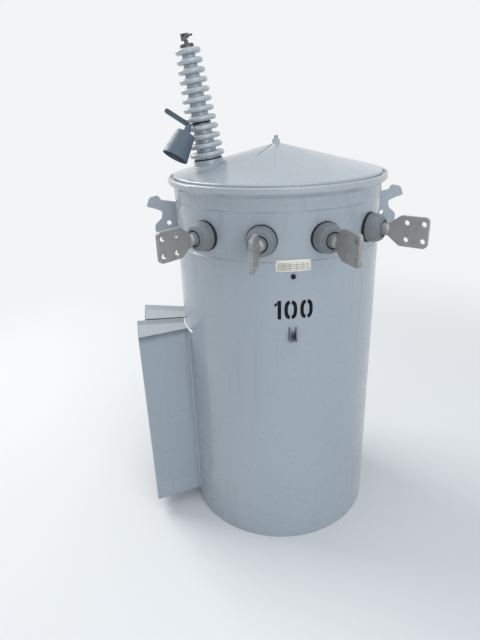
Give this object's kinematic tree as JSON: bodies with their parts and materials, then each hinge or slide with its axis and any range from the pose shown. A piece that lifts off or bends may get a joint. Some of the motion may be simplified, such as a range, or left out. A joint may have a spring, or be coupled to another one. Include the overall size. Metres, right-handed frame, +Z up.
{
  "type": "pole mounted transformer",
  "caption": "Round oil-filled tank with a conical cover, a shedded bushing on top, spade terminals in front, cooling boxes on one side and support lugs behind.",
  "frame": {"origin": "centre of the tank's base", "axes": "+Z up along the tank's axis, -Y out of the front between the middle terminals, +Y towards the pole"},
  "size_m": [0.8486, 0.8139, 1.4917],
  "materials": {
    "tank_paint": "gloss light grey enamel",
    "cooler_paint": "gloss light grey enamel",
    "porcelain": "glazed light grey porcelain",
    "terminal_polymer": "satin grey moulding",
    "tinned_terminal": "dull tin plate on cast metal",
    "terminal_metal": "weathered tin plate",
    "zinc_fastener": "zinc plate",
    "gasket_rubber": "matt black rubber",
    "guard_plastic": "weathered grey moulding",
    "black_plastic": "black strap",
    "plate_aluminium": "bare plate",
    "plug_dark": "dark plug"
  },
  "bodies": {
    "root": {"cooler_front_bottom": "cooler_paint", "cooler_front_jacket": "cooler_paint", "cooler_front_top": "cooler_paint", "cooler_rear_bottom": "cooler_paint", "cooler_rear_jacket": "cooler_paint", "cooler_rear_top": "cooler_paint", "cover": "tank_paint", "cover_band": "tank_paint", "cover_band_bolt": "zinc_fastener", "cover_gasket": "gasket_rubber", "cover_stud": "tank_paint", "guard_arm": "guard_plastic", "guard_hood": "guard_plastic", "guard_tie": "black_plastic", "hv_boss": "tank_paint", "hv_bushing": "porcelain", "hv_cap": "terminal_metal", "hv_clamp_bolt": "zinc_fastener", "hv_eyebolt": "terminal_metal", "hv_gasket": "gasket_rubber", "level_plug": "plug_dark", "lifting_lug_left": "tank_paint", "lifting_lug_right": "tank_paint", "lv_bushing_1": "terminal_polymer", "lv_bushing_2": "terminal_polymer", "lv_bushing_3": "terminal_polymer", "lv_bushing_4": "terminal_polymer", "lv_gasket_1": "gasket_rubber", "lv_gasket_2": "gasket_rubber", "lv_gasket_3": "gasket_rubber", "lv_gasket_4": "gasket_rubber", "lv_spade_1": "tinned_terminal", "lv_spade_2": "tinned_terminal", "lv_spade_3": "tinned_terminal", "lv_spade_4": "tinned_terminal", "nameplate": "plate_aluminium", "pole_lug_lower": "tank_paint", "pole_lug_upper": "tank_paint", "strap_hook": "tank_paint", "tank_bottom": "tank_paint", "tank_shell": "tank_paint"}
  },
  "joints": []
}
